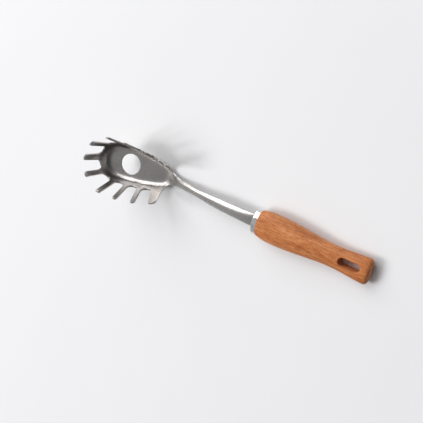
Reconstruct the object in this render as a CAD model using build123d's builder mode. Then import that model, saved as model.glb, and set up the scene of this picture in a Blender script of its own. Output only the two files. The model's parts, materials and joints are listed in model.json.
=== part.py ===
from build123d import *
from math import cos, radians, sin, tan
import os

# Pasta server, lying on its back as on a worktop: the dish opens upwards (+Z), the handle points along +X, and
# the part is the same on both sides of the XZ plane. The origin is under the middle of its length, on the
# surface that it lies on. Lengths are millimetres and angles are degrees.

# Whole tool
overall_length = 330.0
handle_tilt = 2.15
sheet = 2.0
cut_overrun = 20.0

# Dish: an egg-shaped pan, blunt at the front, whose sides flare outwards. Its outline is a front and a back
# arc joined by two flatter side arcs. The dish's own plane lies on its floor, centred on the portion hole.
dish_tilt = 16.1
dish_flare = 16.8
hole_setback = 31.4
hole_drop = 0.6
hole_diameter = 24.0
floor_front_radius = 18.6
floor_back_radius = 12.7
floor_side_radius = 193.0
floor_front_reach = 30.9
floor_back_reach = 53.0
corner_radius = 9.0

# Teeth: places are shares of half the outline, from the front end to the back end
tooth_height = 41.3
tip_arc_radius = 209.0
tip_arc_setback = 12.7
tooth_shares = (0.0, 0.134, 0.322, 0.478, 0.633, 0.785)
gap_shares = (0.082, 0.226, 0.38, 0.525, 0.675)
tooth_tip_width = 5.6
tip_radius = 2.4
gap_bottom_height = 9.6
gap_bottom_width = 10.5

# Neck: the last tooth's back edge sweeps down, and the floor sweeps up into the shank. The neck's sides are
# arcs that leave the shank's edges, and its edges stand up where they leave the dish.
neck_slope = 28.6
neck_radius = 37.0
neck_reach = 21.0
neck_rise = 2.4
sweep_lean = 12.3
sweep_setback = 5.0
sweep_foot_height = 8.5
sweep_radius = 10.0

# Shank: a crowned strip that climbs from the neck and levels out towards the ferrule
shank_root_width = 14.0
shank_crown = 2.8
shank_low_share = 0.35
shank_low_drop = 4.6
shank_high_share = 0.7
shank_high_rise = 0.8
shank_root_height = 1.5
# Place along the shank, part of the root's width, part of the full crown
shank_section_shares = (
    (0.0, 0.75, -0.1),
    (0.035, 0.745, 0.1),
    (0.07, 0.74, 0.35),
    (0.11, 0.73, 0.65),
    (0.16, 0.72, 0.9),
    (0.3, 0.7, 1.0),
    (0.45, 0.75, 1.0),
    (0.6, 0.87, 1.0),
    (0.8, 0.94, 1.0),
    (0.93, 0.985, 0.75),
    (1.0, 1.0, 0.3),
)

# Tang: the same sheet, narrowed, and the resin that holds it
tang_length = 62.0
tang_width = 9.0
tang_end_radius = 3.0
bore_diameter = 11.0
bond_end = 2.0

# Ferrule
ferrule_length = 5.8
ferrule_width = 26.4
ferrule_thickness = 17.6
ferrule_side_radius = 6.4
ferrule_wall = 1.0
ferrule_front = 1.6
ferrule_front_radius = 1.4
ferrule_fit = 0.1

# Handle: place along the wood, width, thickness and side radius as shares of the grip's largest
handle_length = 120.0
grip_width = 31.2
grip_thickness = 19.4
grip_side_radius = 7.4
butt_radius = 3.6
handle_section_shares = (
    (0.0, 0.862, 0.92, 0.88),
    (0.04, 0.945, 0.96, 0.93),
    (0.18, 1.0, 1.0, 1.0),
    (0.38, 0.9, 0.94, 0.92),
    (0.56, 0.75, 0.82, 0.8),
    (0.7, 0.705, 0.74, 0.72),
    (0.85, 0.77, 0.69, 0.68),
    (1.0, 0.85, 0.68, 0.66),
)
slot_length = 21.5
slot_width = 7.8
slot_setback = 9.0
slot_edge_radius = 0.8


def along(direction, angle):
    """The direction, turned downwards in the XZ plane by an angle."""
    return direction.rotate(Axis.Y, angle)


def across(distance, height=0.0):
    """The plane square to the handle's axis, at a distance along it from the middle of the tool."""
    origin = tool.from_local_coords((distance, 0, height))
    return Plane(origin=origin, x_dir=tool.y_dir, z_dir=tool.x_dir)


def oval_outline(width, thickness, side_radius):
    """A closed oval of four tangent arcs: two sides and a flatter crown above and below."""
    half_width, half_thickness = width / 2, thickness / 2
    side_centre = half_width - side_radius
    crown_radius = (side_centre**2 + half_thickness**2 - side_radius**2) / (2 * (half_thickness - side_radius))
    reach = side_radius / (crown_radius - side_radius)
    joint_x = side_centre + side_centre * reach
    joint_y = (crown_radius - half_thickness) * reach
    ThreePointArc((joint_x, -joint_y), (half_width, 0), (joint_x, joint_y))
    ThreePointArc((joint_x, joint_y), (0, half_thickness), (-joint_x, joint_y))
    ThreePointArc((-joint_x, joint_y), (-half_width, 0), (-joint_x, -joint_y))
    ThreePointArc((-joint_x, -joint_y), (0, -half_thickness), (joint_x, -joint_y))


def band_outline(width, crown, thickness, low=0.0):
    """The shank's section: a strip whose middle is pressed up by a crown, with its edges at height zero."""
    half_width = width / 2
    top, bottom = low + thickness - sheet, low - sheet
    if crown:
        ThreePointArc((-half_width, top), (0, top + crown), (half_width, top))
        ThreePointArc((-half_width, bottom), (0, bottom + crown), (half_width, bottom))
    else:
        Line((-half_width, top), (half_width, top))
        Line((-half_width, bottom), (half_width, bottom))
    Line((-half_width, bottom), (-half_width, top))
    Line((half_width, bottom), (half_width, top))


# Planes: the tool's own lies on the handle's axis, and the dish's own on the inside of its floor
butt_thickness = grip_thickness * handle_section_shares[-1][2]
slant = radians(handle_tilt)
lift = (overall_length / 2 - butt_radius) * sin(slant) + (butt_thickness / 2 - butt_radius) * cos(slant) + butt_radius
tool = Plane(
    origin=(0, 0, lift),
    x_dir=along(Vector(1, 0, 0), handle_tilt),
    z_dir=along(Vector(0, 0, 1), handle_tilt),
)
dish = Plane(
    origin=tool.from_local_coords((hole_setback - overall_length / 2, 0, -hole_drop)),
    x_dir=along(tool.x_dir, dish_tilt),
    z_dir=along(tool.z_dir, dish_tilt),
)
butt_x = overall_length / 2
wood_x = butt_x - handle_length
ferrule_x = wood_x - ferrule_length
seat_x = ferrule_x + ferrule_front

flare = radians(dish_flare)


def egg_places(level, wall=0.0):
    """Places on one half of the dish's outline at a level, from the front end to the back end."""
    spread = level * tan(flare) + wall / cos(flare)
    front_radius, back_radius = floor_front_radius + spread, floor_back_radius + spread
    side_radius = floor_side_radius + spread
    front = Vector(floor_front_radius - floor_front_reach, 0)
    back = Vector(floor_back_reach - floor_back_radius, 0)
    reach = back.X - front.X
    to_front, to_back = side_radius - front_radius, side_radius - back_radius
    offset = (to_front**2 - to_back**2 + reach**2) / (2 * reach)
    centre = front + Vector(offset, -((to_front**2 - offset**2) ** 0.5))
    front_way = (front - centre).normalized()
    back_way = (back - centre).normalized()
    return (
        front - Vector(front_radius, 0),
        front + (front_way - Vector(1, 0)).normalized() * front_radius,
        front + front_way * front_radius,
        centre + (front_way + back_way).normalized() * side_radius,
        back + back_way * back_radius,
        back + (back_way + Vector(1, 0)).normalized() * back_radius,
        back + Vector(back_radius, 0),
    )


def egg_outline(level, wall=0.0):
    """The dish's whole outline at a level, widened by a wall."""
    front_end, _, front_joint, side_middle, back_joint, _, back_end = egg_places(level, wall)
    other_front, other_side, other_back = (
        Vector(place.X, -place.Y) for place in (front_joint, side_middle, back_joint)
    )
    ThreePointArc(other_front, front_end, front_joint)
    ThreePointArc(front_joint, side_middle, back_joint)
    ThreePointArc(back_joint, back_end, other_back)
    ThreePointArc(other_back, other_side, other_front)


def on_rim(share, level, side):
    """A point on the inside of the wall, at a share of the way from the front end to the back end."""
    places = egg_places(level)
    with BuildLine() as half:
        ThreePointArc(*places[0:3])
        ThreePointArc(*places[2:5])
        ThreePointArc(*places[4:7])
    place = half.wires()[0] @ share
    return Vector(place.X, side * place.Y, level)


def neck_spread(distance):
    """How far the neck's edge stands out from the shank's, at a distance from the dish."""
    rest = max(neck_reach - distance, 0)
    return neck_radius - (neck_radius**2 - rest**2) ** 0.5


# Course of the shank: it starts on the slope that the rounded corner of the floor has reached at the back
slope_angle = radians(neck_slope)
neck_x = floor_back_reach + corner_radius * (tan(flare) - 1 / cos(flare) + sin(slope_angle))
neck_height = corner_radius * (1 - cos(slope_angle))
start = dish.from_local_coords((neck_x, 0, neck_height))
start_place = tool.to_local_coords(start)
shank_length = ferrule_x - start_place.X
course_places = (
    (start_place.X, start_place.Z),
    (start_place.X + shank_length * shank_low_share, -shank_low_drop),
    (start_place.X + shank_length * shank_high_share, shank_high_rise),
    (ferrule_x, shank_root_height),
)
with BuildLine() as spine:
    Spline(
        *[tool.from_local_coords((x, 0, z)) for x, z in course_places],
        tangents=[along(dish.x_dir, -neck_slope), tool.x_dir],
    )
course = spine.wires()[0]

# Outline of the tang, which the head and the resin share
tang_plane = Plane(
    tool.from_local_coords((seat_x, 0, shank_root_height - sheet)), x_dir=tool.x_dir, z_dir=tool.z_dir
)
with BuildSketch(tang_plane) as tongue:
    with Locations((tang_length / 2, 0)):
        Rectangle(tang_length, tang_width)
    fillet(tongue.vertices().group_by(Axis.X)[-1], radius=tang_end_radius)

# The space inside the dish, which shapes the inner face of the sheet
with BuildPart() as hollow:
    with BuildSketch(dish):
        with BuildLine():
            egg_outline(0)
        make_face()
    extrude(amount=tooth_height + cut_overrun, taper=-dish_flare)
    floor_edges = hollow.faces().sort_by(Axis(dish.origin, dish.z_dir))[0].edges()
    fillet(floor_edges, radius=corner_radius)

# Head: dish, teeth, neck, shank and tang are one pressed sheet
with BuildPart() as head:
    with BuildSketch(dish.offset(-sheet)):
        with BuildLine():
            egg_outline(-sheet, sheet)
        make_face()
    extrude(amount=sheet + tooth_height, taper=-dish_flare)
    outer_edges = head.faces().sort_by(Axis(dish.origin, dish.z_dir))[0].edges()
    fillet(outer_edges, radius=corner_radius + sheet)
    add(hollow.part, mode=Mode.SUBTRACT)

    # Gaps between the teeth, round at the bottom and wider at the top
    for side in (1, -1):
        for near, far, middle in zip(tooth_shares, tooth_shares[1:], gap_shares):
            bottom = on_rim(middle, gap_bottom_height, side)
            tips = [on_rim(share, tooth_height, side) for share in (near, far)]
            span = (tips[1] - tips[0]).length
            heading = (tips[1] - tips[0]).normalized()
            lean = ((tips[0] + tips[1]) / 2 - bottom).dot(heading)
            depth = tooth_height - gap_bottom_height
            low_half = gap_bottom_width / 2
            growth = (depth + cut_overrun) / depth
            high_half = low_half + ((span - tooth_tip_width) / 2 - low_half) * growth
            run = dish.from_local_coords(heading) - dish.origin
            gap_plane = Plane(dish.from_local_coords(bottom), x_dir=run, z_dir=run.cross(dish.z_dir))
            with BuildSketch(gap_plane) as gap:
                with BuildLine():
                    Polyline(
                        (-low_half, 0),
                        (low_half, 0),
                        (lean * growth + high_half, depth + cut_overrun),
                        (lean * growth - high_half, depth + cut_overrun),
                        close=True,
                    )
                make_face()
                fillet(gap.vertices().group_by(Axis.Y)[0], radius=low_half)
            extrude(amount=cut_overrun, both=True, mode=Mode.SUBTRACT)

    # The tips lie on a long arc as seen from the side, and the last tooth's back edge leans and sweeps into the
    # slope of the neck
    last_tip = on_rim(tooth_shares[-1], tooth_height, 1)
    side_plane = Plane(dish.origin, x_dir=dish.x_dir, z_dir=-dish.y_dir)
    arc_foot = tooth_height - tip_arc_radius
    front_x = -on_rim(0, tooth_height, 0).length - cut_overrun
    back_x = last_tip.X + sweep_setback
    front_height, back_height = (
        arc_foot + (tip_arc_radius**2 - (x - tip_arc_setback) ** 2) ** 0.5 for x in (front_x, back_x)
    )
    foot_x = back_x - (back_height - sweep_foot_height) * tan(radians(sweep_lean))
    kink_x = neck_x + sheet * cos(slope_angle)
    kink_height = neck_height + sheet * sin(slope_angle)
    step_x = kink_x + sheet / 2 * sin(slope_angle)
    step_height = kink_height - sheet / 2 * cos(slope_angle)
    far_x = back_x + cut_overrun
    far_height = step_height + (far_x - step_x) * tan(slope_angle)
    high = tooth_height + cut_overrun
    with BuildSketch(side_plane) as profile:
        with BuildLine():
            ThreePointArc((front_x, front_height), (tip_arc_setback, tooth_height), (back_x, back_height))
            Polyline(
                (back_x, back_height),
                (foot_x, sweep_foot_height),
                (kink_x, kink_height),
                (step_x, step_height),
                (far_x, far_height),
                (far_x, high),
                (front_x, high),
                (front_x, front_height),
            )
        make_face()
        fillet(profile.vertices().sort_by(Axis.X)[2], radius=sweep_radius)
    extrude(amount=-front_x, both=True, mode=Mode.SUBTRACT)

    # Tooth tips are rounded across their width
    tip_faces = head.faces().filter_by(GeomType.CYLINDER).group_by(lambda face: face.radius)[-1]
    tip_corners = [
        edge for face in tip_faces for edge in face.edges().sort_by(lambda edge: abs(edge.length - sheet))[:2]
    ]
    fillet(tip_corners, radius=tip_radius)

    # Neck and shank: bands along the course, with raised edges where they leave the dish
    for share, wide, crown in shank_section_shares:
        spread = neck_spread(course.length * share)
        rise = neck_rise * spread / neck_spread(0)
        with BuildSketch(Plane(course @ share, x_dir=tool.y_dir, z_dir=course % share)):
            with BuildLine():
                band_outline(shank_root_width * wide + 2 * spread, shank_crown * crown - rise, sheet, rise)
            make_face()
    loft()

    # The straight end of the shank inside the ferrule's front, and the tang
    with BuildSketch(across(ferrule_x, shank_root_height)):
        with BuildLine():
            band_outline(shank_root_width, shank_crown * shank_section_shares[-1][2], sheet)
        make_face()
    extrude(amount=ferrule_front)

    extrude(tongue.sketch, amount=sheet)

    # Portion hole
    with BuildSketch(dish.offset(-sheet - cut_overrun)):
        Circle(hole_diameter / 2)
    extrude(amount=sheet + 2 * cut_overrun, mode=Mode.SUBTRACT)
head.part.label = "head"

# Ferrule: an oval cap with a slot that fits round the end of the shank
with BuildPart() as ferrule:
    with BuildSketch(across(ferrule_x)):
        with BuildLine():
            oval_outline(ferrule_width, ferrule_thickness, ferrule_side_radius)
        make_face()
    extrude(amount=ferrule_length)
    front = ferrule.faces().sort_by(Axis(tool.origin, tool.x_dir))[0]
    fillet(front.edges(), radius=ferrule_front_radius)
    with BuildSketch(across(seat_x)):
        with BuildLine():
            oval_outline(
                ferrule_width - 2 * ferrule_wall,
                ferrule_thickness - 2 * ferrule_wall,
                ferrule_side_radius - ferrule_wall,
            )
        make_face()
    extrude(amount=ferrule_length, mode=Mode.SUBTRACT)
    with BuildSketch(across(ferrule_x - cut_overrun, shank_root_height)):
        with BuildLine():
            band_outline(
                shank_root_width + 2 * ferrule_fit,
                shank_crown * shank_section_shares[-1][2],
                sheet + 2 * ferrule_fit,
                -ferrule_fit,
            )
        make_face()
    extrude(amount=2 * cut_overrun, mode=Mode.SUBTRACT)
ferrule.part.label = "ferrule"

# Handle
with BuildPart() as handle:
    for share, wide, thick, side in handle_section_shares:
        with BuildSketch(across(wood_x + handle_length * share)):
            with BuildLine():
                oval_outline(grip_width * wide, grip_thickness * thick, grip_side_radius * side)
            make_face()
    loft()
    butt = handle.faces().sort_by(Axis(tool.origin, tool.x_dir))[-1]
    fillet(butt.edges(), radius=butt_radius)
    with BuildSketch(across(seat_x)):
        with BuildLine():
            oval_outline(
                ferrule_width - 2 * (ferrule_wall + ferrule_fit),
                ferrule_thickness - 2 * (ferrule_wall + ferrule_fit),
                ferrule_side_radius - ferrule_wall - ferrule_fit,
            )
        make_face()
    extrude(amount=ferrule_length)
    with BuildSketch(across(seat_x)):
        Circle(bore_diameter / 2)
    extrude(amount=tang_length + bond_end, mode=Mode.SUBTRACT)
    slot_x = butt_x - slot_setback - slot_length / 2
    slot_plane = Plane(tool.from_local_coords((slot_x, 0, 0)), x_dir=tool.x_dir, z_dir=tool.z_dir)
    with BuildSketch(slot_plane):
        SlotOverall(slot_length, slot_width)
    extrude(amount=grip_thickness, both=True, mode=Mode.SUBTRACT)
    fillet(handle.edges(Select.LAST).filter_by(GeomType.LINE, reverse=True), radius=slot_edge_radius)
handle.part.label = "handle"

# Bond: the resin that fills the bore round the tang
with BuildPart() as tang_bond:
    with BuildSketch(across(seat_x)):
        Circle(bore_diameter / 2)
    extrude(amount=tang_length + bond_end)
    extrude(tongue.sketch, amount=sheet, mode=Mode.SUBTRACT)
tang_bond.part.label = "tang_bond"

os.makedirs("parts", exist_ok=True)
for piece in (head, ferrule, handle, tang_bond):
    export_step(piece.part, f"parts/{piece.part.label}.step")
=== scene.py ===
"""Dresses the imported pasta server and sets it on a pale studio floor.

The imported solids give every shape. This script rounds the edges and bends that pressing and sanding
leave soft, gives each piece its finish, and adds the floor, the light and the camera.
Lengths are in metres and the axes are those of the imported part: the tool lies on its back, its
handle points along +X, its dish opens upwards and the floor is at height zero.
"""

import json
import logging
import math
from collections.abc import Mapping
from dataclasses import dataclass
from enum import Enum
from typing import Any

import bpy
from mathutils import Euler, Matrix, Vector

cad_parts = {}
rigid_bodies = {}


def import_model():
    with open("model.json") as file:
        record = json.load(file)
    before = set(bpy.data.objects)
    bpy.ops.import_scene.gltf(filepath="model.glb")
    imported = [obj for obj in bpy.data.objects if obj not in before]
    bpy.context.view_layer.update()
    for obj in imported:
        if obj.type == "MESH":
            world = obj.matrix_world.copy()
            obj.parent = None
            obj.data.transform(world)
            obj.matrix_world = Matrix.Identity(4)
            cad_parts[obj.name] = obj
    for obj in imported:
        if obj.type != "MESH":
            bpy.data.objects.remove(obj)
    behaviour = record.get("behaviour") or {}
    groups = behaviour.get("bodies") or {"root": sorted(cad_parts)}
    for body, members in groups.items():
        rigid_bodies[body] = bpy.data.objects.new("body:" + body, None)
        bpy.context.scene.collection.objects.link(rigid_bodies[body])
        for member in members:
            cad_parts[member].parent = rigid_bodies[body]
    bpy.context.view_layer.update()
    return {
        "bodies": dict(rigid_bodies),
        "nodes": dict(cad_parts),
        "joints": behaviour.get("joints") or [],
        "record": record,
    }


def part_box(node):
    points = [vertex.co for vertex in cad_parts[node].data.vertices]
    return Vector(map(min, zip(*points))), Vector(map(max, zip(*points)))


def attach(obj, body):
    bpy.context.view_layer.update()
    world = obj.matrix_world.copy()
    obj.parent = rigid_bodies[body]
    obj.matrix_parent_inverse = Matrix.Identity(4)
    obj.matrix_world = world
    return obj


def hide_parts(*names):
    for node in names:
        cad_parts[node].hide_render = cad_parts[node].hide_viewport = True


LOG = logging.getLogger("pasta_server")
MILLIMETRE = 0.001

Colour = tuple[float, float, float]
Number = float | int
Frame = dict[str, Any]


def linear(red: int, green: int, blue: int) -> Colour:
    """Turns a colour as a screen shows it, from 0 to 255, into the linear values that shaders use.

    Args:
        red: The red share.
        green: The green share.
        blue: The blue share.

    Returns:
        The three linear values, from 0 to 1.
    """
    straight_end, straight_slope = 0.04045, 12.92
    curve_offset, curve_power = 0.055, 2.4
    shares = (value / 255 for value in (red, green, blue))
    return tuple(
        share / straight_slope
        if share <= straight_end
        else ((share + curve_offset) / (1 + curve_offset)) ** curve_power
        for share in shares
    )


def smooth_step(share: float) -> float:
    """Eases a share in and out, between 0 and 1."""
    share = min(max(share, 0.0), 1.0)
    return share * share * (3.0 - 2.0 * share)


BACKDROP = linear(240, 240, 241)
NOISE_MIDDLE = 0.5


class Coordinates(Enum):
    """The places that a texture may be laid out by."""

    PIECE = "Object"
    DIRECTION = "Generated"


@dataclass(frozen=True)
class Grain:
    """Noise that may be drawn out along an axis, such as brushed lines or the fibres of wood.

    The lumps are counted along a metre of each axis, the detail is the number of finer layers, and
    the seed moves the pattern, so that two grains of one material differ.
    """

    per_metre: tuple[float, float, float]
    detail: float
    seed: float = 0.0


class Value:
    """A socket of a node tree. The usual operators on it add Math nodes to that tree."""

    def __init__(self, tree: "Tree", socket: bpy.types.NodeSocket | None) -> None:
        """Wraps one output socket.

        Args:
            tree: The tree that the socket is in.
            socket: The output socket, or None for a node that has no output.
        """
        self.tree = tree
        self.socket = socket

    def _maths(self, operation: str, first: "Input", second: "Input") -> "Value":
        """Adds one Math node that works on two values."""
        return self.tree.node("ShaderNodeMath", {"operation": operation}, {0: first, 1: second})

    def __add__(self, other: "Input") -> "Value":
        """Adds a value or a number to this one."""
        return self._maths("ADD", self, other)

    def __radd__(self, other: "Input") -> "Value":
        """Adds this value to a number."""
        return self._maths("ADD", other, self)

    def __sub__(self, other: "Input") -> "Value":
        """Takes a value or a number from this one."""
        return self._maths("SUBTRACT", self, other)

    def __rsub__(self, other: "Input") -> "Value":
        """Takes this value from a number."""
        return self._maths("SUBTRACT", other, self)

    def __mul__(self, other: "Input") -> "Value":
        """Multiplies this value by a value or a number."""
        return self._maths("MULTIPLY", self, other)

    def __rmul__(self, other: "Input") -> "Value":
        """Multiplies a number by this value."""
        return self._maths("MULTIPLY", other, self)

    def above(self, edge: float, softness: float) -> "Value":
        """Gives 0 well under an edge and 1 well over it.

        Args:
            edge: The value at which the result is a half.
            softness: How far to each side of the edge the change reaches.

        Returns:
            The soft step.
        """
        inputs = {"Value": self, "From Min": edge - softness, "From Max": edge + softness}
        return self.tree.node("ShaderNodeMapRange", {"interpolation_type": "SMOOTHSTEP"}, inputs)


Input = Value | Number | tuple[float, ...]


class Tree:
    """Adds nodes to the tree of one material or of the world."""

    def __init__(self, nodes: bpy.types.NodeTree) -> None:
        """Wraps a node tree, emptied first.

        Args:
            nodes: The tree of the material or world.
        """
        self.nodes = nodes
        nodes.nodes.clear()

    def node(
        self,
        kind: str,
        settings: Mapping[str, Any] | None = None,
        inputs: Mapping[str | int, Input] | None = None,
        output: str | int = 0,
    ) -> Value:
        """Adds a node of any kind.

        Args:
            kind: The node's type name.
            settings: Its settings by name, with a ramp's colours under "stops".
            inputs: A number, colour or value for each socket that isn't left as it comes.
            output: The name or place of the output that is handed back.

        Returns:
            That output, which is empty for a node that has none.
        """
        made = self.nodes.nodes.new(kind)
        for name, setting in (settings or {}).items():
            if name == "stops":
                self._set_stops(made.color_ramp, setting)
            else:
                setattr(made, name, setting)
        for name, value in (inputs or {}).items():
            if isinstance(value, Value):
                self.nodes.links.new(value.socket, made.inputs[name])
            else:
                made.inputs[name].default_value = value
        return Value(self, made.outputs[output] if made.outputs else None)

    @staticmethod
    def _set_stops(ramp: bpy.types.ColorRamp, stops: list[tuple[float, Colour]]) -> None:
        """Gives a ramp its colours.

        Args:
            ramp: The ramp, as a new node has it.
            stops: The place and the colour of each stop, in order.
        """
        while len(ramp.elements) < len(stops):
            ramp.elements.new(1.0)
        for element, (place, colour) in zip(ramp.elements, stops):
            element.position = place
            element.color = (*colour, 1.0)

    def place(self, coordinates: Coordinates) -> Value:
        """Gives the place of each point of the surface."""
        return self.node("ShaderNodeTexCoord", output=coordinates.value)

    def noise(self, place: Value, grain: Grain) -> Value:
        """Adds the noise that a grain asks for.

        Args:
            place: The place of each point.
            grain: The noise's form.

        Returns:
            The noise, from 0 to 1, mostly near its middle.
        """
        inputs = {"Vector": place, "Location": (grain.seed,) * 3, "Scale": grain.per_metre}
        moved = self.node("ShaderNodeMapping", {}, inputs)
        return self.node("ShaderNodeTexNoise", {}, {"Vector": moved, "Scale": 1.0, "Detail": grain.detail})

    def blend(self, share: Input, first: Input, second: Input) -> Value:
        """Mixes two colours.

        Args:
            share: How much of the second colour there is, from 0 to 1.
            first: The first colour.
            second: The second colour.

        Returns:
            The mixed colour.
        """
        # The node has sockets of the same names for other kinds of value, so these go by place
        share_socket, colour_sockets, colour_output = 0, (6, 7), 2
        inputs = {share_socket: share}
        for socket, colour in zip(colour_sockets, (first, second)):
            inputs[socket] = (*colour, 1.0) if isinstance(colour, tuple) else colour
        return self.node("ShaderNodeMix", {"data_type": "RGBA"}, inputs, colour_output)

    def bump(self, height: Value, depth: float, under: Value | None = None) -> Value:
        """Raises and sinks the surface a little.

        Args:
            height: The height of each point, from 0 to 1.
            depth: What a height of 1 stands for, in metres.
            under: A coarser bump that this one lies on.

        Returns:
            The normals.
        """
        inputs = {"Height": height, "Distance": depth, "Strength": 1.0}
        if under is not None:
            inputs["Normal"] = under
        return self.node("ShaderNodeBump", {}, inputs)

    def principled(self, inputs: Mapping[str, Input]) -> Value:
        """Adds a principled surface."""
        return self.node("ShaderNodeBsdfPrincipled", {}, inputs)

    def end(self, shader: Value) -> None:
        """Makes a shader the material's surface."""
        self.node("ShaderNodeOutputMaterial", {}, {"Surface": shader})


@dataclass(frozen=True)
class Finish:
    """What every finish has: a name, and a material made from its nodes."""

    name: str = "finish"

    def material(self) -> bpy.types.Material:
        """Makes the material.

        Returns:
            The material with its nodes.
        """
        made = bpy.data.materials.new(self.name)
        made.use_nodes = True
        self.lay(Tree(made.node_tree))
        return made

    def lay(self, tree: Tree) -> None:
        """Adds the finish's nodes to a tree."""
        raise NotImplementedError


@dataclass(frozen=True)
class SatinSteel(Finish):
    """Stainless sheet, brushed along the tool and then pressed, so its reflections are soft."""

    name: str = "satin_steel"
    light: Colour = linear(206, 203, 199)
    dark: Colour = linear(184, 180, 177)
    smoothest: float = 0.2
    roughest: float = 0.34
    brushing: Grain = Grain((90.0, 2600.0, 2600.0), detail=3.0)
    brush_depth: float = 0.004 * MILLIMETRE
    pressing: Grain = Grain((90.0, 160.0, 160.0), detail=1.0, seed=3.7)
    wave_depth: float = 0.07 * MILLIMETRE
    wear: Grain = Grain((24.0, 30.0, 30.0), detail=2.0, seed=8.1)
    wear_share: float = 0.4
    softness: float = 0.2

    def lay(self, tree: Tree) -> None:
        """Adds the brushed lines, the slow waves of the pressing, the wear and their colours.

        Args:
            tree: The material's tree, which is empty.
        """
        place = tree.place(Coordinates.PIECE)
        lines = tree.noise(place, self.brushing)
        waves = tree.noise(place, self.pressing)
        worn = tree.noise(place, self.wear).above(NOISE_MIDDLE, self.softness)
        brushed = lines.above(NOISE_MIDDLE, self.softness)
        dulled = brushed * (1 - self.wear_share) + worn * self.wear_share
        shader = tree.principled(
            {
                "Base Color": tree.blend(dulled, self.light, self.dark),
                "Metallic": 1.0,
                "Roughness": self.smoothest + dulled * (self.roughest - self.smoothest),
                "Normal": tree.bump(lines, self.brush_depth, tree.bump(waves, self.wave_depth)),
            }
        )
        tree.end(shader)


@dataclass(frozen=True)
class PolishedSteel(Finish):
    """Stainless tube polished bright, with the faint haze that handling leaves."""

    name: str = "polished_steel"
    light: Colour = linear(232, 231, 230)
    dark: Colour = linear(214, 212, 212)
    smoothest: float = 0.06
    roughest: float = 0.16
    polishing: Grain = Grain((5200.0, 60.0, 60.0), detail=1.0)
    line_depth: float = 0.001 * MILLIMETRE
    handling: Grain = Grain((160.0, 160.0, 160.0), detail=3.0, seed=5.3)
    haze_edge: float = 0.52
    haze_softness: float = 0.12

    def lay(self, tree: Tree) -> None:
        """Adds the fine lines that run round the tube and the haze of handling.

        Args:
            tree: The material's tree, which is empty.
        """
        place = tree.place(Coordinates.PIECE)
        lines = tree.noise(place, self.polishing)
        haze = tree.noise(place, self.handling).above(self.haze_edge, self.haze_softness)
        shader = tree.principled(
            {
                "Base Color": tree.blend(haze, self.light, self.dark),
                "Metallic": 1.0,
                "Roughness": self.smoothest + haze * (self.roughest - self.smoothest),
                "Normal": tree.bump(lines, self.line_depth),
            }
        )
        tree.end(shader)


@dataclass(frozen=True)
class OiledBeech(Finish):
    """Steamed beech with a thin oil: slow bands, fine fibres and the short dark flecks of its rays."""

    name: str = "oiled_beech"
    light: Colour = linear(222, 152, 98)
    middle: Colour = linear(197, 122, 70)
    dark: Colour = linear(164, 90, 46)
    fleck: Colour = linear(132, 66, 38)
    light_end: float = 0.1
    middle_place: float = 0.5
    dark_start: float = 0.95
    growth: Grain = Grain((22.0, 240.0, 240.0), detail=2.5)
    band_softness: float = 0.3
    band_share: float = 0.5
    fibre: Grain = Grain((80.0, 1000.0, 1000.0), detail=3.0, seed=2.9)
    fibre_softness: float = 0.25
    fibre_depth: float = 0.02 * MILLIMETRE
    rays: Grain = Grain((240.0, 1100.0, 1100.0), detail=1.0, seed=6.4)
    fleck_edge: float = 0.6
    fleck_softness: float = 0.04
    fleck_strength: float = 0.42
    fleck_depth: float = 0.03 * MILLIMETRE
    smoothest: float = 0.44
    roughest: float = 0.6
    specular: float = 0.35

    def lay(self, tree: Tree) -> None:
        """Adds the bands, fibres and flecks as colour, gloss and relief.

        Args:
            tree: The material's tree, which is empty.
        """
        place = tree.place(Coordinates.PIECE)
        bands = tree.noise(place, self.growth).above(NOISE_MIDDLE, self.band_softness)
        fibres = tree.noise(place, self.fibre)
        flecks = tree.noise(place, self.rays).above(self.fleck_edge, self.fleck_softness)
        lines = fibres.above(NOISE_MIDDLE, self.fibre_softness)
        tone = bands * self.band_share + lines * (1 - self.band_share)
        stops = [
            (self.light_end, self.light),
            (self.middle_place, self.middle),
            (self.dark_start, self.dark),
        ]
        wood = tree.node("ShaderNodeValToRGB", {"stops": stops}, {"Fac": tone})
        relief = tree.bump(fibres, self.fibre_depth)
        shader = tree.principled(
            {
                "Base Color": tree.blend(flecks * self.fleck_strength, wood, self.fleck),
                "Roughness": self.smoothest + fibres * (self.roughest - self.smoothest),
                "Normal": tree.bump(1 - flecks, self.fleck_depth, relief),
                "Specular IOR Level": self.specular,
            }
        )
        tree.end(shader)


@dataclass(frozen=True)
class SetResin(Finish):
    """The amber resin that holds the tang in the handle."""

    name: str = "resin"
    clear: Colour = linear(214, 190, 140)
    cloudy: Colour = linear(190, 160, 104)
    roughness: float = 0.45
    setting: Grain = Grain((300.0, 300.0, 300.0), detail=2.0)
    cloud_depth: float = 0.05 * MILLIMETRE

    def lay(self, tree: Tree) -> None:
        """Adds the clouds that set in the resin.

        Args:
            tree: The material's tree, which is empty.
        """
        clouds = tree.noise(tree.place(Coordinates.PIECE), self.setting)
        colour = tree.blend(clouds, self.clear, self.cloudy)
        normal = tree.bump(clouds, self.cloud_depth)
        tree.end(tree.principled({"Base Color": colour, "Roughness": self.roughness, "Normal": normal}))


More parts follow.
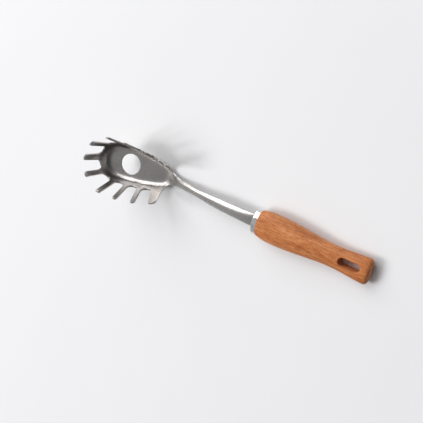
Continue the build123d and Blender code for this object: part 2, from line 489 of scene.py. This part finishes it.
@dataclass(frozen=True)
class PaleFloor(Finish):
    """A plain pale board, matt and faintly uneven, that runs out into the backdrop far from the tool."""

    name: str = "pale_floor"
    light: Colour = linear(240, 240, 241)
    dark: Colour = linear(236, 236, 237)
    roughness: float = 0.55
    specular: float = 0.2
    unevenness: Grain = Grain((6.0, 6.0, 6.0), detail=2.0)
    fade_place: float = 0.95
    fade_reach: float = 0.8

    def lay(self, tree: Tree) -> None:
        """Adds the board, and the backdrop's plain light where the camera sees it far away.

        Args:
            tree: The material's tree, which is empty.
        """
        place = tree.place(Coordinates.PIECE)
        clouds = tree.noise(place, self.unevenness)
        board = tree.principled(
            {
                "Base Color": tree.blend(clouds, self.light, self.dark),
                "Roughness": self.roughness,
                "Specular IOR Level": self.specular,
            }
        )
        distance = tree.node("ShaderNodeVectorMath", {"operation": "LENGTH"}, {0: place}, output="Value")
        seen = tree.node("ShaderNodeLightPath", output="Is Camera Ray")
        far = distance.above(self.fade_place, self.fade_reach) * seen
        plain = tree.node("ShaderNodeEmission", {}, {"Color": (*BACKDROP, 1.0)})
        tree.end(tree.node("ShaderNodeMixShader", {}, {0: far, 1: board, 2: plain}))


@dataclass
class CarriedPiece:
    """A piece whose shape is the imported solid's own."""

    node: str
    finish: Finish

    def build(self, frame: Frame) -> bpy.types.Object:
        """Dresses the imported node.


        Returns:
            The node's object.
        """
        piece = frame["nodes"][self.node]
        material = self.finish.material()
        for place in piece.material_slots:
            place.material = material
        return piece


@dataclass(kw_only=True)
class EasedPiece:
    """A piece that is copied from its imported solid, meshed evenly and eased.

    A little easing all over rounds the cut edges, and more where a piece's own share asks for it.
    """

    node: str
    slot: str
    finish: Finish
    mesh_size: float
    edge_passes: int
    bend_passes: int
    ease: float = 0.5

    def eased_share(self, place: Vector) -> float:
        """Says how much of the further easing a point gets.

        Args:
            place: The point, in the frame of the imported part.

        Returns:
            A share from 0 to 1.
        """
        raise NotImplementedError

    def _evenly_meshed(self, solid: bpy.types.Object) -> bpy.types.Object:
        """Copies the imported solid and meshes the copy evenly.

        Args:
            solid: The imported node's object.

        Returns:
            The copy.
        """
        piece = bpy.data.objects.new(f"eased_{self.node}", solid.data.copy())
        bpy.context.scene.collection.objects.link(piece)
        remesh = piece.modifiers.new("even_mesh", "REMESH")
        remesh.mode = "VOXEL"
        remesh.voxel_size = self.mesh_size
        remesh.use_smooth_shade = True
        self._apply(piece)
        return piece

    @staticmethod
    def _apply(piece: bpy.types.Object) -> None:
        """Turns what a piece's modifiers make into its own mesh.

        Args:
            piece: The piece, which has no modifiers afterwards.
        """
        graph = bpy.context.evaluated_depsgraph_get()
        mesh = bpy.data.meshes.new_from_object(piece.evaluated_get(graph))
        piece.modifiers.clear()
        piece.data = mesh

    def _ease_edges_and_bends(self, piece: bpy.types.Object) -> None:
        """Smooths the mesh, all over and then by the piece's own share.

        Args:
            piece: The evenly meshed piece.
        """
        bends = piece.vertex_groups.new(name="bends")
        for vertex in piece.data.vertices:
            bends.add([vertex.index], self.eased_share(vertex.co), "REPLACE")
        for name, passes in (("edges", self.edge_passes), ("bends", self.bend_passes)):
            smooth = piece.modifiers.new(name, "SMOOTH")
            smooth.factor = self.ease
            smooth.iterations = passes
            if name == bends.name:
                smooth.vertex_group = bends.name
        self._apply(piece)

    def build(self, frame: Frame) -> bpy.types.Object:
        """Makes the piece and dresses it.


        Returns:
            The piece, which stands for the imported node.
        """
        piece = self._evenly_meshed(frame["nodes"][self.node])
        self._ease_edges_and_bends(piece)
        piece.data.materials.clear()
        piece.data.materials.append(self.finish.material())
        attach(piece, "root")
        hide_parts(self.node)
        return piece


@dataclass(frozen=True)
class RoundHole:
    """The hole through the dish's floor, which the dish's own axes start from.

    The place is in the middle of the sheet, and the slope is how far the dish leans about Y, in radians.
    """

    place: Vector
    slope: float
    radius: float

    @classmethod
    def stated(cls, frame: Frame, mount_name: str) -> "RoundHole":
        """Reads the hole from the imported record.

        Args:
            mount_name: The mount that stands for the hole, at the sheet's lower face.

        Returns:
            The hole.
        """
        mounts = frame["record"]["mounts"]
        mount = next(mount for mount in mounts if mount["name"] == mount_name)
        axis, size = Vector(mount["axis"]), mount["dims"]
        place = Vector(mount["pos_m"]) + axis * size["length_mm"] / 2 * MILLIMETRE
        return cls(place, math.atan2(axis.x, axis.z), size["r_mm"] * MILLIMETRE)


@dataclass(kw_only=True)
class PressedHead(EasedPiece):
    """The dish, its teeth and the shank, drawn from one sheet whose bends the press leaves soft.

    The bend, the neck and the shank are placed along the dish's own axes, counted from the hole.
    """

    hole: RoundHole
    node: str = "head"
    slot: str = "satin_steel"
    finish: Finish = SatinSteel()
    mesh_size: float = 0.38 * MILLIMETRE
    edge_passes: int = 8
    bend_passes: int = 240
    hole_clearance: float = 1.0 * MILLIMETRE
    hole_margin: float = 4.0 * MILLIMETRE
    bend_height: float = 8.5 * MILLIMETRE
    bend_fade: float = 3.5 * MILLIMETRE
    neck_end: float = 73.5 * MILLIMETRE
    neck_length: float = 15.0 * MILLIMETRE
    shank_start: float = 60.0 * MILLIMETRE
    shank_blend: float = 8.0 * MILLIMETRE
    shank_share: float = 0.22

    def eased_share(self, place: Vector) -> float:
        """Eases the corner round the dish's floor and the neck, and the shank a little.

        The teeth and the hole's rim keep their shape.

        Args:
            place: The point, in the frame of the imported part.

        Returns:
            A share from 0 to 1.
        """
        local = (place - self.hole.place) @ Matrix.Rotation(self.hole.slope, 3, "Y")
        from_hole = local.xy.length - self.hole.radius - self.hole_clearance
        clear_of_hole = smooth_step(from_hole / self.hole_margin)
        under_teeth = smooth_step((self.bend_height - local.z) / self.bend_fade)
        before_shank = smooth_step((self.neck_end - local.x) / self.neck_length)
        on_shank = smooth_step((local.x - self.shank_start) / self.shank_blend)
        return max(clear_of_hole * under_teeth * before_shank, on_shank * self.shank_share)


@dataclass(kw_only=True)
class SandedHandle(EasedPiece):
    """The wooden handle, sanded rounder at its butt."""

    butt_place: float
    node: str = "handle"
    slot: str = "beech"
    finish: Finish = OiledBeech()
    mesh_size: float = 0.5 * MILLIMETRE
    edge_passes: int = 3
    bend_passes: int = 110
    butt_reach: float = 8.5 * MILLIMETRE

    def eased_share(self, place: Vector) -> float:
        """Eases the butt and leaves the grip and the slot."""
        return smooth_step(1 - (self.butt_place - place.x) / self.butt_reach)


@dataclass
class StudioFloor:
    """The pale floor that the tool lies on."""

    half_width: float = 3.0
    finish: Finish = PaleFloor()

    def build(self) -> bpy.types.Object:
        """Makes the floor at height zero.

        Returns:
            The floor, which is no part of the object.
        """
        mesh = bpy.data.meshes.new("studio_floor")
        half = self.half_width
        outline = [(-half, -half, 0), (half, -half, 0), (half, half, 0), (-half, half, 0)]
        mesh.from_pydata(outline, [], [tuple(range(len(outline)))])
        mesh.materials.append(self.finish.material())
        floor = bpy.data.objects.new("studio_floor", mesh)
        bpy.context.scene.collection.objects.link(floor)
        return floor


@dataclass(frozen=True)
class SoftLamp:
    """A square soft lamp that points at the middle of the tool.

    The azimuth is counted from +X toward +Y, and the radiance is that of the lamp's face.
    """

    name: str
    azimuth: float
    elevation: float
    distance: float
    side: float
    radiance: float
    seen_in_metal: bool

    def build(self) -> bpy.types.Object:
        """Hangs the lamp.

        Returns:
            The lamp.
        """
        data = bpy.data.lights.new(self.name, "AREA")
        data.shape = "SQUARE"
        data.size = self.side
        data.energy = self.radiance * math.pi * self.side**2
        lamp = bpy.data.objects.new(self.name, data)
        turn, rise = math.radians(self.azimuth), math.radians(self.elevation)
        away = Vector((math.cos(turn) * math.cos(rise), math.sin(turn) * math.cos(rise), math.sin(rise)))
        lamp.location = away * self.distance
        lamp.rotation_euler = away.to_track_quat("Z", "Y").to_euler()
        lamp.visible_camera = False
        lamp.visible_glossy = self.seen_in_metal
        bpy.context.scene.collection.objects.link(lamp)
        return lamp


@dataclass
class StudioLight:
    """The soft lamps and the dim room round them, which is bright toward -X and dark toward +X."""

    lamps: tuple[SoftLamp, ...] = (
        SoftLamp(
            name="side_lamp",
            azimuth=202.0,
            elevation=46.0,
            distance=5.4,
            side=2.27,
            radiance=10.7,
            seen_in_metal=False,
        ),
        SoftLamp(
            name="bright_wall",
            azimuth=136.0,
            elevation=38.0,
            distance=4.5,
            side=3.81,
            radiance=2.75,
            seen_in_metal=True,
        ),
    )
    bright_side: Colour = (0.46, 0.46, 0.47)
    dark_side: Colour = (0.08, 0.08, 0.083)
    side_edge: float = 0.1
    side_softness: float = 0.6

    def build(self) -> list[bpy.types.Object]:
        """Hangs the lamps and paints the room.

        Returns:
            The lamps.
        """
        world = bpy.data.worlds.new("studio_room")
        world.use_nodes = True
        bpy.context.scene.world = world
        tree = Tree(world.node_tree)
        direction = tree.node(
            "ShaderNodeSeparateXYZ", {}, {"Vector": tree.place(Coordinates.DIRECTION)}, output="X"
        )
        turned_away = direction.above(self.side_edge, self.side_softness)
        room = tree.blend(turned_away, self.bright_side, self.dark_side)
        seen = tree.node("ShaderNodeLightPath", output="Is Camera Ray")
        colour = tree.blend(seen, room, BACKDROP)
        sky = tree.node("ShaderNodeBackground", {}, {"Color": colour, "Strength": 1.0})
        tree.node("ShaderNodeOutputWorld", {}, {"Surface": sky})
        return [lamp.build() for lamp in self.lamps]


@dataclass(frozen=True)
class Camera:
    """The camera at the photograph's place, with its turns and the square frame's view in degrees."""

    location: tuple[float, float, float] = (0.28975, 0.17116, 0.49069)
    turns: tuple[float, float, float] = (-8.042, 35.681, 17.432)
    field_of_view: float = 41.38
    nearest: float = 0.01

    def build(self) -> bpy.types.Object:
        """Makes the camera and hands it to the scene.

        Returns:
            The camera.
        """
        data = bpy.data.cameras.new("photograph_view")
        data.sensor_fit = "HORIZONTAL"
        data.angle = math.radians(self.field_of_view)
        data.clip_start = self.nearest
        camera = bpy.data.objects.new("photograph_view", data)
        camera.location = self.location
        camera.rotation_euler = Euler(tuple(math.radians(turn) for turn in self.turns), "XYZ")
        bpy.context.scene.collection.objects.link(camera)
        bpy.context.scene.camera = camera
        return camera


def main() -> None:
    """Builds the scene piece by piece."""
    logging.basicConfig(level=logging.INFO, format="%(message)s")
    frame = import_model()
    pieces = (
        PressedHead(hole=RoundHole.stated(frame, "portion_hole")),
        CarriedPiece("ferrule", PolishedSteel()),
        SandedHandle(butt_place=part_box("handle")[1].x),
        CarriedPiece("tang_bond", SetResin()),
    )
    for piece in pieces:
        made = piece.build(frame)
        LOG.info("%s: %d faces, %s", made.name, len(made.data.polygons), piece.finish.name)
    stage = (StudioFloor().build(), *StudioLight().build(), Camera().build())
    LOG.info("around it: %s", ", ".join(made.name for made in stage))
    bpy.context.scene.view_settings.view_transform = "Standard"
    bpy.context.view_layer.update()


if __name__ == "__main__":
    main()
